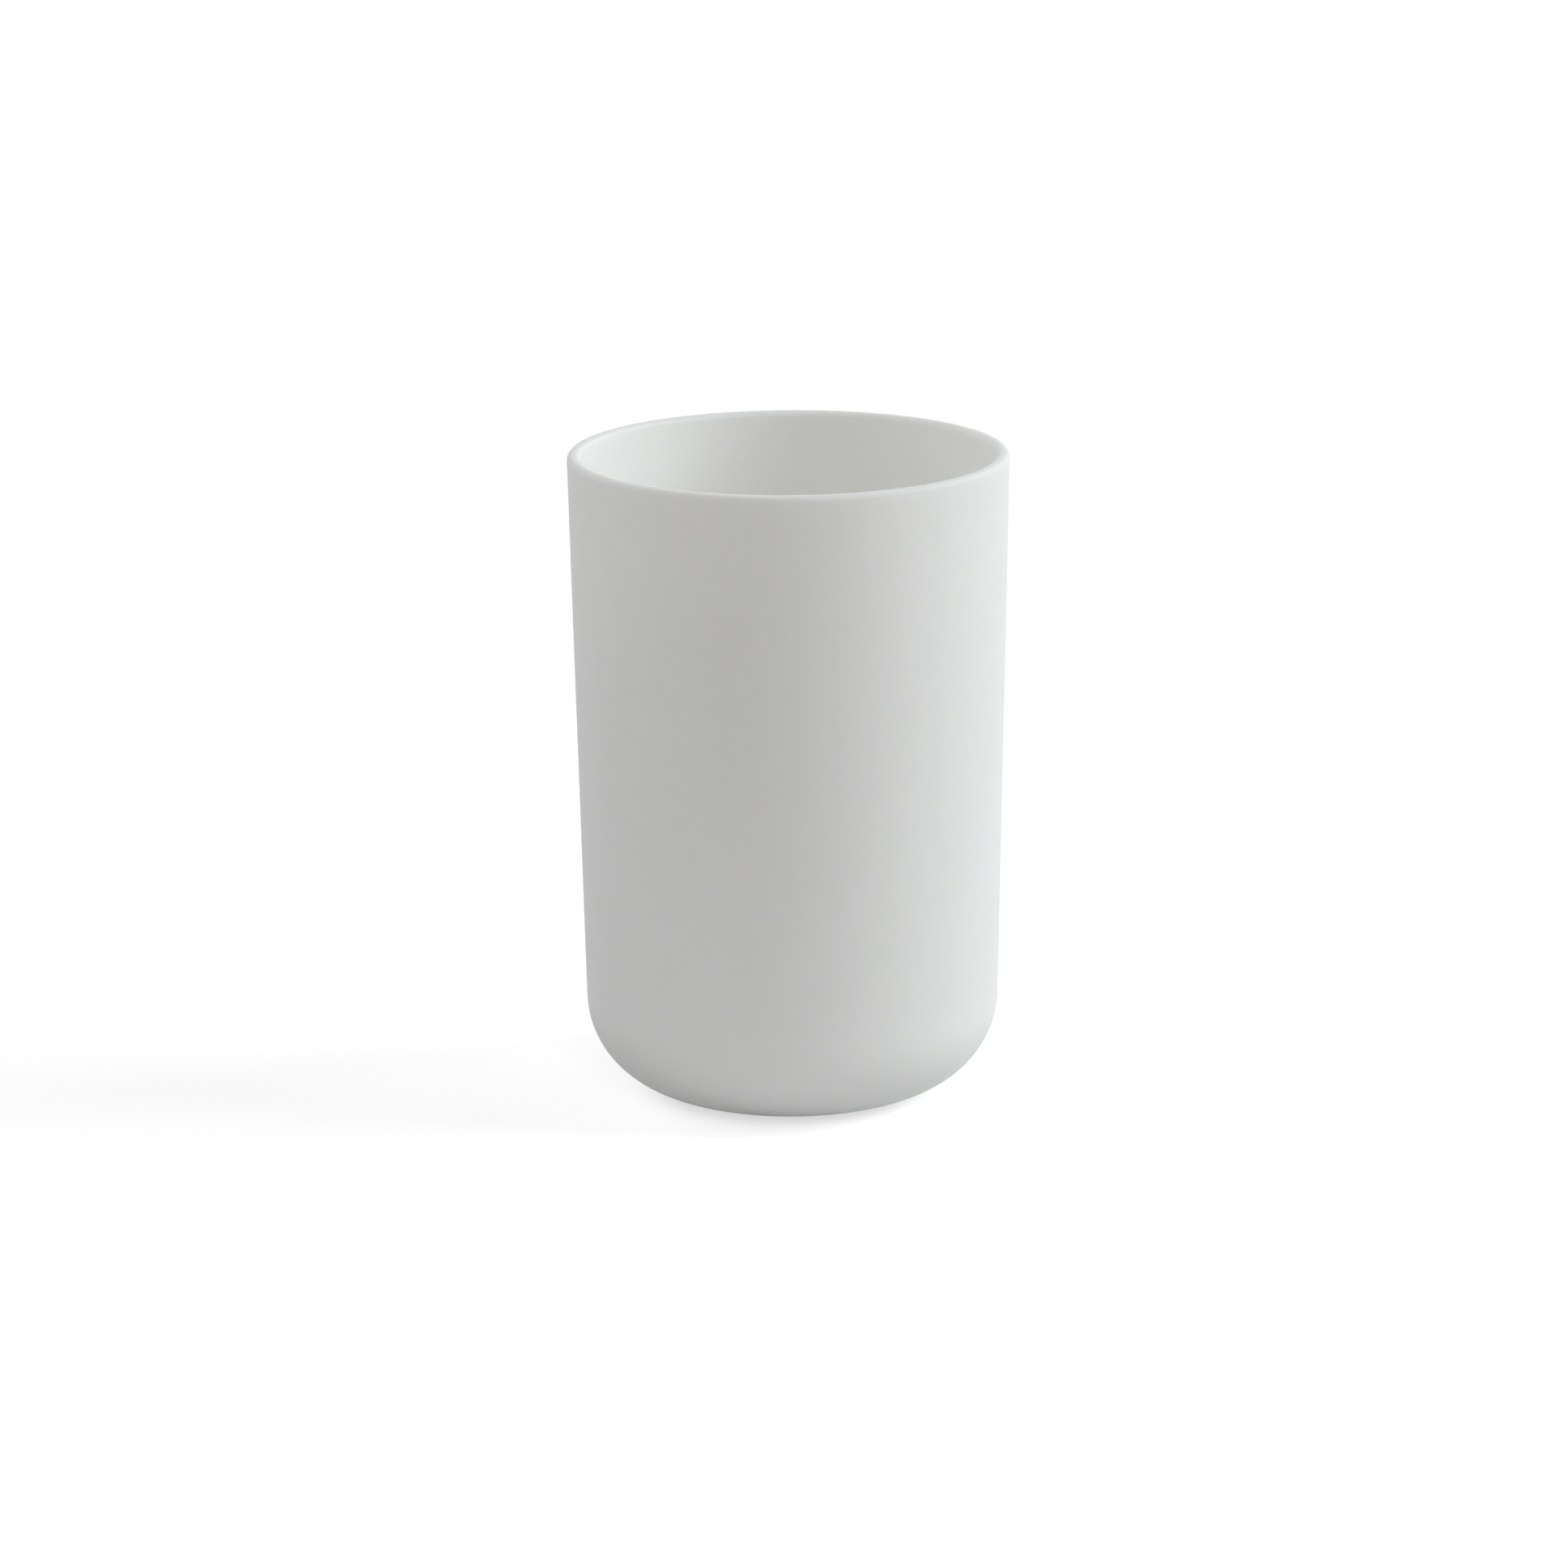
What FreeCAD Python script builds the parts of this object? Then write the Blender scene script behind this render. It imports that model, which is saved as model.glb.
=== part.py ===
import FreeCAD, Part
import math
import os

# Bathroom tumbler: a one-piece moulded cup that stands on a soft non-slip ring in a groove under its base.
# The origin is at the middle of the standing plane, with +Z up along the axis of the cup.

# Driving dimensions of the cup, in millimetres and degrees
HEIGHT = 105.0  # standing plane to the top of the lip
RIM_DIAMETER = 70.5  # outside of the wall, carried up to the top of the lip
WALL = 2.1  # thickness of the wall at the lip
LIP_FLAT = 0.4  # flat left on top of the lip between its two rounds
OUTER_DRAFT = 1.1  # lean of the outer wall, wider at the top
INNER_DRAFT = 1.35  # lean of the inner wall, so that the wall thickens towards the base
CORNER_RADIUS = 15.2  # round between the outer wall and the base
FLOOR = 1.8  # least thickness of the floor, above the deepest cut under it

# Driving dimensions of the underside
RING_WIDTH = 4.0  # non-slip ring, across its band
RING_STAND_OFF = 0.5  # how far the ring holds the base off the standing plane
RING_ROUND = 0.4  # round on the ring's two standing edges
RING_CLEARANCE = 0.05  # gap on each side of the ring in its groove
GROOVE_DEPTH = 1.0  # groove that seats the ring
FOOT_MARGIN = 1.3  # flat of the base outside the groove
LAND_WIDTH = 1.6  # flat of the base between the groove and the recess
RECESS_DEPTH = 0.6  # shallow recess in the middle of the underside
RECESS_STEP = 0.1  # straight side left between the rounds at the edge and the root of the recess
GATE_DIAMETER = 6.0  # dish round the moulding gate
GATE_DEPTH = 0.5  # dish, measured from the recess
NIB_DIAMETER = 1.8  # trimmed end of the gate
NIB_HEIGHT = 0.3  # stands in the dish, below its depth

# Heights and radii that follow
BASE_Z = RING_STAND_OFF
GROOVE_Z = BASE_Z + GROOVE_DEPTH
RECESS_Z = BASE_Z + RECESS_DEPTH
GATE_Z = RECESS_Z + GATE_DEPTH
NIB_Z = GATE_Z - NIB_HEIGHT
FLOOR_Z = max(GROOVE_Z, GATE_Z) + FLOOR
LIP_ROUND = (WALL - LIP_FLAT) / 2
RECESS_ROUND = (RECESS_DEPTH - RECESS_STEP) / 2
INNER_CORNER_RADIUS = CORNER_RADIUS - WALL


def outer_wall_radius(z):
    """Radius of the outer wall's straight line at height z."""
    return RIM_DIAMETER / 2 - (HEIGHT - z) * math.tan(math.radians(OUTER_DRAFT))


def inner_wall_radius(z):
    """Radius of the inner wall's straight line at height z."""
    return RIM_DIAMETER / 2 - WALL - (HEIGHT - z) * math.tan(math.radians(INNER_DRAFT))


BASE_RADIUS = outer_wall_radius(BASE_Z) - CORNER_RADIUS * math.tan(math.radians(90 - OUTER_DRAFT) / 2)
GROOVE_OUTER_RADIUS = BASE_RADIUS - FOOT_MARGIN
RING_OUTER_RADIUS = GROOVE_OUTER_RADIUS - RING_CLEARANCE
RING_INNER_RADIUS = RING_OUTER_RADIUS - RING_WIDTH
GROOVE_INNER_RADIUS = RING_INNER_RADIUS - RING_CLEARANCE
RECESS_RADIUS = GROOVE_INNER_RADIUS - LAND_WIDTH


def section_point(r, z):
    """Point of a section, which lies in the XZ plane."""
    return FreeCAD.Vector(r, 0, z)


def corner_points(before, corner, after):
    """Start, middle and end of the arc that rounds a corner, or only the corner where its round is zero."""
    r, z, radius = corner
    here = section_point(r, z)
    if radius == 0:
        return [here]
    back = (section_point(*before[:2]) - here).normalize()
    onward = (section_point(*after[:2]) - here).normalize()
    half_angle = back.getAngle(onward) / 2
    run = radius / math.tan(half_angle)
    reach = radius / math.sin(half_angle) - radius
    inward = (back + onward).normalize()
    return [here + back * run, here + inward * reach, here + onward * run]


def revolved(corners):
    """Solid turned about the Z axis from a closed section of (radius, height, round) corners."""
    neighbours = zip(corners[-1:] + corners[:-1], corners, corners[1:] + corners[:1])
    rounded = [corner_points(*three) for three in neighbours]
    edges = []
    for points, following in zip(rounded, rounded[1:] + rounded[:1]):
        if len(points) == 3:
            edges.append(Part.Arc(*points).toShape())
        edges.append(Part.LineSegment(points[-1], following[0]).toShape())
    section = Part.Face(Part.Wire(edges))
    return section.revolve(FreeCAD.Vector(0, 0, 0), FreeCAD.Vector(0, 0, 1), 360)


def tumbler_body():
    """Cup with leaning walls, a soft-edged lip, a large base round and a grooved, recessed underside."""
    gate_radius = GATE_DIAMETER / 2
    nib_radius = NIB_DIAMETER / 2
    return revolved([
        (0, NIB_Z, 0),
        (nib_radius, NIB_Z, 0),
        (nib_radius, GATE_Z, 0),
        (gate_radius, GATE_Z, 0),
        (gate_radius, RECESS_Z, 0),
        (RECESS_RADIUS, RECESS_Z, RECESS_ROUND),
        (RECESS_RADIUS, BASE_Z, RECESS_ROUND),
        (GROOVE_INNER_RADIUS, BASE_Z, 0),
        (GROOVE_INNER_RADIUS, GROOVE_Z, 0),
        (GROOVE_OUTER_RADIUS, GROOVE_Z, 0),
        (GROOVE_OUTER_RADIUS, BASE_Z, 0),
        (outer_wall_radius(BASE_Z), BASE_Z, CORNER_RADIUS),
        (outer_wall_radius(HEIGHT), HEIGHT, LIP_ROUND),
        (inner_wall_radius(HEIGHT), HEIGHT, LIP_ROUND),
        (inner_wall_radius(FLOOR_Z), FLOOR_Z, INNER_CORNER_RADIUS),
        (0, FLOOR_Z, 0),
    ])


def non_slip_ring():
    """Soft ring that fills the groove and stands proud of the base, with rounded standing edges."""
    return revolved([
        (RING_INNER_RADIUS, 0, RING_ROUND),
        (RING_OUTER_RADIUS, 0, RING_ROUND),
        (RING_OUTER_RADIUS, GROOVE_Z, 0),
        (RING_INNER_RADIUS, GROOVE_Z, 0),
    ])


def main():
    os.makedirs("parts", exist_ok=True)
    pieces = {"tumbler_body": tumbler_body(), "non_slip_ring": non_slip_ring()}
    for name, solid in pieces.items():
        solid.exportStep(f"parts/{name}.step")
        print(name, solid.ShapeType, "valid", solid.isValid(), "volume", round(solid.Volume, 1), "mm3")


main()
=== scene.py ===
import math

import bmesh
import bpy
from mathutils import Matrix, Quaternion, Vector


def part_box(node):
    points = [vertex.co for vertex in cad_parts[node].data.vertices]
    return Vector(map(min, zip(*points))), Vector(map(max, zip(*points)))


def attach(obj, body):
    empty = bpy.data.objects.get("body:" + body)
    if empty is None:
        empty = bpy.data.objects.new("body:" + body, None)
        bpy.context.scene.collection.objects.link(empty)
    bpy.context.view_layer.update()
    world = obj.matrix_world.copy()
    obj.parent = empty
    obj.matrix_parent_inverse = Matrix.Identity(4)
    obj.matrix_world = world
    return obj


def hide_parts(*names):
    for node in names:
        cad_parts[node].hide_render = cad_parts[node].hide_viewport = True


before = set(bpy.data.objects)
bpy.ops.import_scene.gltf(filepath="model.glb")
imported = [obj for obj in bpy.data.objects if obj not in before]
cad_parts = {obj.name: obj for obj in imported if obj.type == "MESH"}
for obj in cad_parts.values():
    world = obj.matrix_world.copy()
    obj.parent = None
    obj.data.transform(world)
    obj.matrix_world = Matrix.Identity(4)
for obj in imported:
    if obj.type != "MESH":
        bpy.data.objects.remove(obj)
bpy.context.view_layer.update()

# The frame gives the heights and the ring's size, in metres
MM = 0.001
cup_low, cup_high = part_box("tumbler_body")
ring_low, ring_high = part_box("non_slip_ring")
BASE_Z = cup_low.z
TOP_Z = cup_high.z
GROOVE_Z = ring_high.z
RING_OUTER_RADIUS = ring_high.x
CUP_MIDDLE = Vector((0, 0, (BASE_Z + TOP_Z) / 2))

# Sizes of the cup
RIM_RADIUS = 35.25 * MM  # outside of the wall, carried up to the top of the lip
WALL = 2.1 * MM  # at the lip
LIP_ROUND = 0.85 * MM
OUTER_LEAN = math.radians(1.1)
INNER_LEAN = math.radians(1.35)
CORNER_RADIUS = 15.2 * MM
INSIDE_FLOOR_Z = 3.4 * MM

# Sizes of the underside
RING_WIDTH = 4.0 * MM
RING_ROUND = 0.4 * MM
RING_CLEARANCE = 0.05 * MM
LAND_WIDTH = 1.6 * MM
RECESS_DEPTH = 0.6 * MM
RECESS_ROUND = 0.25 * MM
GATE_RADIUS = 3.0 * MM
GATE_DEPTH = 0.5 * MM
NIB_RADIUS = 0.9 * MM
NIB_HEIGHT = 0.3 * MM
EDGE_ROUND = 0.12 * MM  # softens the small moulded edges

# Fineness of the turned meshes
TURN_STEPS = 256
BIG_ROUND_STEPS = 24
SMALL_ROUND_STEPS = 8
SHARP_ANGLE = math.radians(35)
SAME_POINT = 0.0005 * MM

# Finish of the cup
PLASTIC_DARK = (0.91, 0.915, 0.905)
PLASTIC_LIGHT = (0.93, 0.935, 0.925)
PLASTIC_ROUGHNESS = (0.62, 0.68)
PLASTIC_IOR = 1.49
FLOW_STRETCH = (1, 1, 0.15)  # draws the gloss out along the cup
GRAIN_DEPTH = 0.004 * MM
LIGHT_REACH = 1.8 * MM  # how far light spreads in the wall
LIGHT_REACH_SHARES = (1.0, 0.95, 0.85)  # of red, green and blue

# Finish of the ring
SILICONE_DARK = (0.6, 0.61, 0.6)
SILICONE_LIGHT = (0.64, 0.65, 0.64)
SILICONE_ROUGHNESS = (0.6, 0.72)
SKIN_DEPTH = 0.01 * MM

# Most of a noise texture's values lie between these
NOISE_LOW = 0.3
NOISE_HIGH = 0.7

# Floor and light
FLOOR_HALF_SIDE = 0.25
FLOOR_COLOUR = (0.77, 0.77, 0.77)
FLOOR_LIFT = 0.58  # added to what the floor shows, so that its lit part is white
AMBIENT = 0.15  # level of the surrounding light, where 1 is white
LAMP_DISTANCE = 3.0
LAMP_TARGET = Vector((0, 0, TOP_Z / 2))

# Camera, as measured from the photograph's outline
CAMERA_DISTANCE = 0.881
CAMERA_ELEVATION = 14.75  # degrees
CAMERA_ROLL = math.radians(-0.48)
CAMERA_AIM = Vector((-0.0011, 0, 0.0502))
FOCAL_LENGTH = 125.1
SENSOR_WIDTH = 36.0


def outer_wall_radius(z):
    """Radius of the outer wall's straight line at height z."""
    return RIM_RADIUS - (TOP_Z - z) * math.tan(OUTER_LEAN)


def inner_wall_radius(z):
    """Radius of the inner wall's straight line at height z."""
    return RIM_RADIUS - WALL - (TOP_Z - z) * math.tan(INNER_LEAN)


def new_object(name, data):
    """Object in the scene, made from its data."""
    thing = bpy.data.objects.new(name, data)
    bpy.context.scene.collection.objects.link(thing)
    return thing


def mesh_from(shape, name):
    """Mesh made from a bmesh, which is freed."""
    mesh = bpy.data.meshes.new(name)
    shape.to_mesh(mesh)
    shape.free()
    return mesh


def round_corner(shape, corner, radius):
    """Rounds the corner of a section where two of its edges meet."""
    back, onward = ((edge.other_vert(corner).co - corner.co) for edge in corner.link_edges)
    run = radius / math.tan(back.angle(onward) / 2)
    steps = BIG_ROUND_STEPS if radius > WALL else SMALL_ROUND_STEPS
    bmesh.ops.bevel(
        shape,
        geom=[corner],
        offset=run,
        offset_type="OFFSET",
        segments=steps,
        profile=0.5,
        affect="VERTICES",
        material=-1,
    )


def turned_piece(name, corners, closed):
    """Piece turned about the Z axis from a section of (radius, height, round) corners."""
    shape = bmesh.new()
    points = [shape.verts.new((radius, 0, height)) for radius, height, _ in corners]
    following = points[1:] + points[:1] if closed else points[1:]
    for start, end in zip(points, following):
        shape.edges.new((start, end))
    for point, (_, _, radius) in zip(points, corners):
        if radius:
            round_corner(shape, point, radius)
    bmesh.ops.spin(
        shape,
        geom=shape.verts[:] + shape.edges[:],
        cent=(0, 0, 0),
        axis=(0, 0, 1),
        angle=math.tau,
        steps=TURN_STEPS,
        use_merge=True,
    )
    bmesh.ops.remove_doubles(shape, verts=shape.verts[:], dist=SAME_POINT)
    bmesh.ops.recalc_face_normals(shape, faces=shape.faces[:])
    mesh = mesh_from(shape, name)
    mesh.polygons.foreach_set("use_smooth", [True] * len(mesh.polygons))
    mesh.set_sharp_from_angle(angle=SHARP_ANGLE)
    return new_object(name, mesh)


def cup():
    """The one-piece cup, from the gate mark under its base round to the floor inside."""
    groove_outer = RING_OUTER_RADIUS + RING_CLEARANCE
    groove_inner = RING_OUTER_RADIUS - RING_WIDTH - RING_CLEARANCE
    recess_radius = groove_inner - LAND_WIDTH
    recess_z = BASE_Z + RECESS_DEPTH
    gate_z = recess_z + GATE_DEPTH
    nib_z = gate_z - NIB_HEIGHT
    corners = [
        (0, nib_z, 0),
        (NIB_RADIUS, nib_z, EDGE_ROUND),
        (NIB_RADIUS, gate_z, 0),
        (GATE_RADIUS, gate_z, EDGE_ROUND),
        (GATE_RADIUS, recess_z, EDGE_ROUND),
        (recess_radius, recess_z, RECESS_ROUND),
        (recess_radius, BASE_Z, RECESS_ROUND),
        (groove_inner, BASE_Z, EDGE_ROUND),
        (groove_inner, GROOVE_Z, 0),
        (groove_outer, GROOVE_Z, 0),
        (groove_outer, BASE_Z, EDGE_ROUND),
        (outer_wall_radius(BASE_Z), BASE_Z, CORNER_RADIUS),
        (outer_wall_radius(TOP_Z), TOP_Z, LIP_ROUND),
        (inner_wall_radius(TOP_Z), TOP_Z, LIP_ROUND),
        (inner_wall_radius(INSIDE_FLOOR_Z), INSIDE_FLOOR_Z, CORNER_RADIUS - WALL),
        (0, INSIDE_FLOOR_Z, 0),
    ]
    return turned_piece("cup", corners, closed=False)


def ring():
    """The non-slip ring in its groove."""
    inner = RING_OUTER_RADIUS - RING_WIDTH
    corners = [
        (inner, ring_low.z, RING_ROUND),
        (RING_OUTER_RADIUS, ring_low.z, RING_ROUND),
        (RING_OUTER_RADIUS, ring_high.z, 0),
        (inner, ring_high.z, 0),
    ]
    return turned_piece("ring", corners, closed=True)


def new_material(name):
    """New node material, with its tree and its Principled shader."""
    material = bpy.data.materials.new(name)
    material.use_nodes = True
    return material, material.node_tree, material.node_tree.nodes["Principled BSDF"]


def noise(tree, scale, detail, stretch=(1, 1, 1)):
    """Noise over the piece's own coordinates, in features of about 1 / scale metres."""
    place = tree.nodes.new("ShaderNodeTexCoord")
    mapping = tree.nodes.new("ShaderNodeMapping")
    mapping.inputs["Scale"].default_value = stretch
    texture = tree.nodes.new("ShaderNodeTexNoise")
    texture.inputs["Scale"].default_value = scale
    texture.inputs["Detail"].default_value = detail
    tree.links.new(place.outputs["Object"], mapping.inputs["Vector"])
    tree.links.new(mapping.outputs["Vector"], texture.inputs["Vector"])
    return texture.outputs["Fac"]


def spread(tree, value, low, high):
    """Noise mapped from its usual range to a range of values."""
    node = tree.nodes.new("ShaderNodeMapRange")
    node.inputs["From Min"].default_value = NOISE_LOW
    node.inputs["From Max"].default_value = NOISE_HIGH
    node.inputs["To Min"].default_value = low
    node.inputs["To Max"].default_value = high
    tree.links.new(value, node.inputs["Value"])
    return node.outputs["Result"]


def mottle(tree, value, low, high):
    """Noise mapped from its usual range to a range of colours."""
    node = tree.nodes.new("ShaderNodeValToRGB")
    first, last = node.color_ramp.elements
    first.position, first.color = NOISE_LOW, (*low, 1)
    last.position, last.color = NOISE_HIGH, (*high, 1)
    tree.links.new(value, node.inputs["Fac"])
    return node.outputs["Color"]


def bump(tree, height, depth):
    """Bump of a depth in metres."""
    node = tree.nodes.new("ShaderNodeBump")
    node.inputs["Strength"].default_value = 1.0
    node.inputs["Distance"].default_value = depth
    tree.links.new(height, node.inputs["Height"])
    return node.outputs["Normal"]


def link_finish(tree, shader, colour, roughness, relief):
    """Links a finish's colour, roughness and relief to its shader."""
    tree.links.new(colour, shader.inputs["Base Color"])
    tree.links.new(roughness, shader.inputs["Roughness"])
    tree.links.new(relief, shader.inputs["Normal"])


def satin_plastic():
    """White moulded plastic: soft gloss, faint mottling and flow, a fine grain, and light in its wall."""
    material, tree, shader = new_material("satin_white_plastic")
    colour = mottle(tree, noise(tree, scale=90, detail=3), PLASTIC_DARK, PLASTIC_LIGHT)
    flow = noise(tree, scale=260, detail=4, stretch=FLOW_STRETCH)
    roughness = spread(tree, flow, *PLASTIC_ROUGHNESS)
    grain = bump(tree, noise(tree, scale=2600, detail=2), GRAIN_DEPTH)
    link_finish(tree, shader, colour, roughness, grain)
    shader.inputs["IOR"].default_value = PLASTIC_IOR
    shader.inputs["Subsurface Weight"].default_value = 1.0
    shader.inputs["Subsurface Radius"].default_value = LIGHT_REACH_SHARES
    shader.inputs["Subsurface Scale"].default_value = LIGHT_REACH
    return material


def silicone():
    """Pale matte silicone with a fine skin."""
    material, tree, shader = new_material("pale_silicone")
    colour = mottle(tree, noise(tree, scale=400, detail=3), SILICONE_DARK, SILICONE_LIGHT)
    roughness = spread(tree, noise(tree, scale=900, detail=3), *SILICONE_ROUGHNESS)
    skin = bump(tree, noise(tree, scale=3000, detail=3), SKIN_DEPTH)
    link_finish(tree, shader, colour, roughness, skin)
    return material


def seen_directly(tree):
    """One for camera, glossy and transmission rays, and zero for the rest."""
    path = tree.nodes.new("ShaderNodeLightPath")
    total = path.outputs["Is Camera Ray"]
    for other in ("Is Glossy Ray", "Is Transmission Ray"):
        node = tree.nodes.new("ShaderNodeMath")
        node.operation = "MAXIMUM"
        tree.links.new(total, node.inputs[0])
        tree.links.new(path.outputs[other], node.inputs[1])
        total = node.outputs["Value"]
    return total


def floor():
    """Pale floor that shows white where it is lit, and keeps the shadow."""
    shape = bmesh.new()
    bmesh.ops.create_grid(shape, x_segments=1, y_segments=1, size=FLOOR_HALF_SIDE)
    plane = new_object("floor", mesh_from(shape, "floor"))
    material, tree, shader = new_material("floor_white")
    shader.inputs["Base Color"].default_value = (*FLOOR_COLOUR, 1)
    shader.inputs["Roughness"].default_value = 1.0
    shader.inputs["Specular IOR Level"].default_value = 0.0
    shader.inputs["Emission Color"].default_value = (1, 1, 1, 1)
    lift = tree.nodes.new("ShaderNodeMath")
    lift.operation = "MULTIPLY"
    lift.inputs[1].default_value = FLOOR_LIFT
    tree.links.new(seen_directly(tree), lift.inputs[0])
    tree.links.new(lift.outputs["Value"], shader.inputs["Emission Strength"])
    plane.data.materials.append(material)


def surroundings():
    """Soft even light from all sides, from a surround that is seen as white."""
    world = bpy.data.worlds.new("surroundings")
    world.use_nodes = True
    tree = world.node_tree
    background = tree.nodes["Background"]
    background.inputs["Color"].default_value = (1, 1, 1, 1)
    level = tree.nodes.new("ShaderNodeMapRange")
    level.inputs["To Min"].default_value = AMBIENT
    level.inputs["To Max"].default_value = 1.0
    tree.links.new(seen_directly(tree), level.inputs["Value"])
    tree.links.new(level.outputs["Result"], background.inputs["Strength"])
    bpy.context.scene.world = world


def direction(azimuth, elevation):
    """Way out from the cup, from degrees. Azimuth 0 is the camera's side, and 90 is the right."""
    turn, rise = math.radians(azimuth), math.radians(elevation)
    return Vector((math.sin(turn) * math.cos(rise), -math.cos(turn) * math.cos(rise), math.sin(rise)))


def panel(name, azimuth, elevation, size, power, tint):
    """Soft rectangular lamp that faces the cup, with its size in metres and its power in watts."""
    lamp = bpy.data.lights.new(name, "AREA")
    lamp.shape = "RECTANGLE"
    lamp.size, lamp.size_y = size
    lamp.energy = power
    lamp.color = tint
    away = direction(azimuth, elevation)
    holder = new_object(name, lamp)
    holder.location = LAMP_TARGET + away * LAMP_DISTANCE
    holder.rotation_euler = away.to_track_quat("Z", "Y").to_euler()
    holder.visible_camera = False


def camera():
    """Camera at the photograph's place, angle and slight roll."""
    data = bpy.data.cameras.new("camera")
    data.sensor_width = SENSOR_WIDTH
    data.lens = FOCAL_LENGTH
    place = CUP_MIDDLE + direction(0, CAMERA_ELEVATION) * CAMERA_DISTANCE
    look = (CAMERA_AIM - place).to_track_quat("-Z", "Y") @ Quaternion((0, 0, 1), CAMERA_ROLL)
    holder = new_object("camera", data)
    holder.location = place
    holder.rotation_euler = look.to_euler()
    bpy.context.scene.camera = holder


def dress(piece, node, material):
    """Gives a piece its material, and puts it in the place of its CAD node."""
    piece.data.materials.append(material)
    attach(piece, "root")
    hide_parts(node)


dress(cup(), "tumbler_body", satin_plastic())
dress(ring(), "non_slip_ring", silicone())
floor()
surroundings()
panel("key", azimuth=92, elevation=29, size=(1.8, 1.8), power=53, tint=(0.95, 1, 1))
panel("left", azimuth=-117, elevation=30, size=(3.4, 1.8), power=33, tint=(0.98, 1, 1))
panel("front", azimuth=0, elevation=30, size=(1.8, 1.8), power=20, tint=(1, 0.98, 0.94))
panel("back", azimuth=136, elevation=15, size=(1.8, 1.4), power=14, tint=(0.95, 1, 0.98))
camera()
bpy.context.scene.view_settings.view_transform = "Standard"
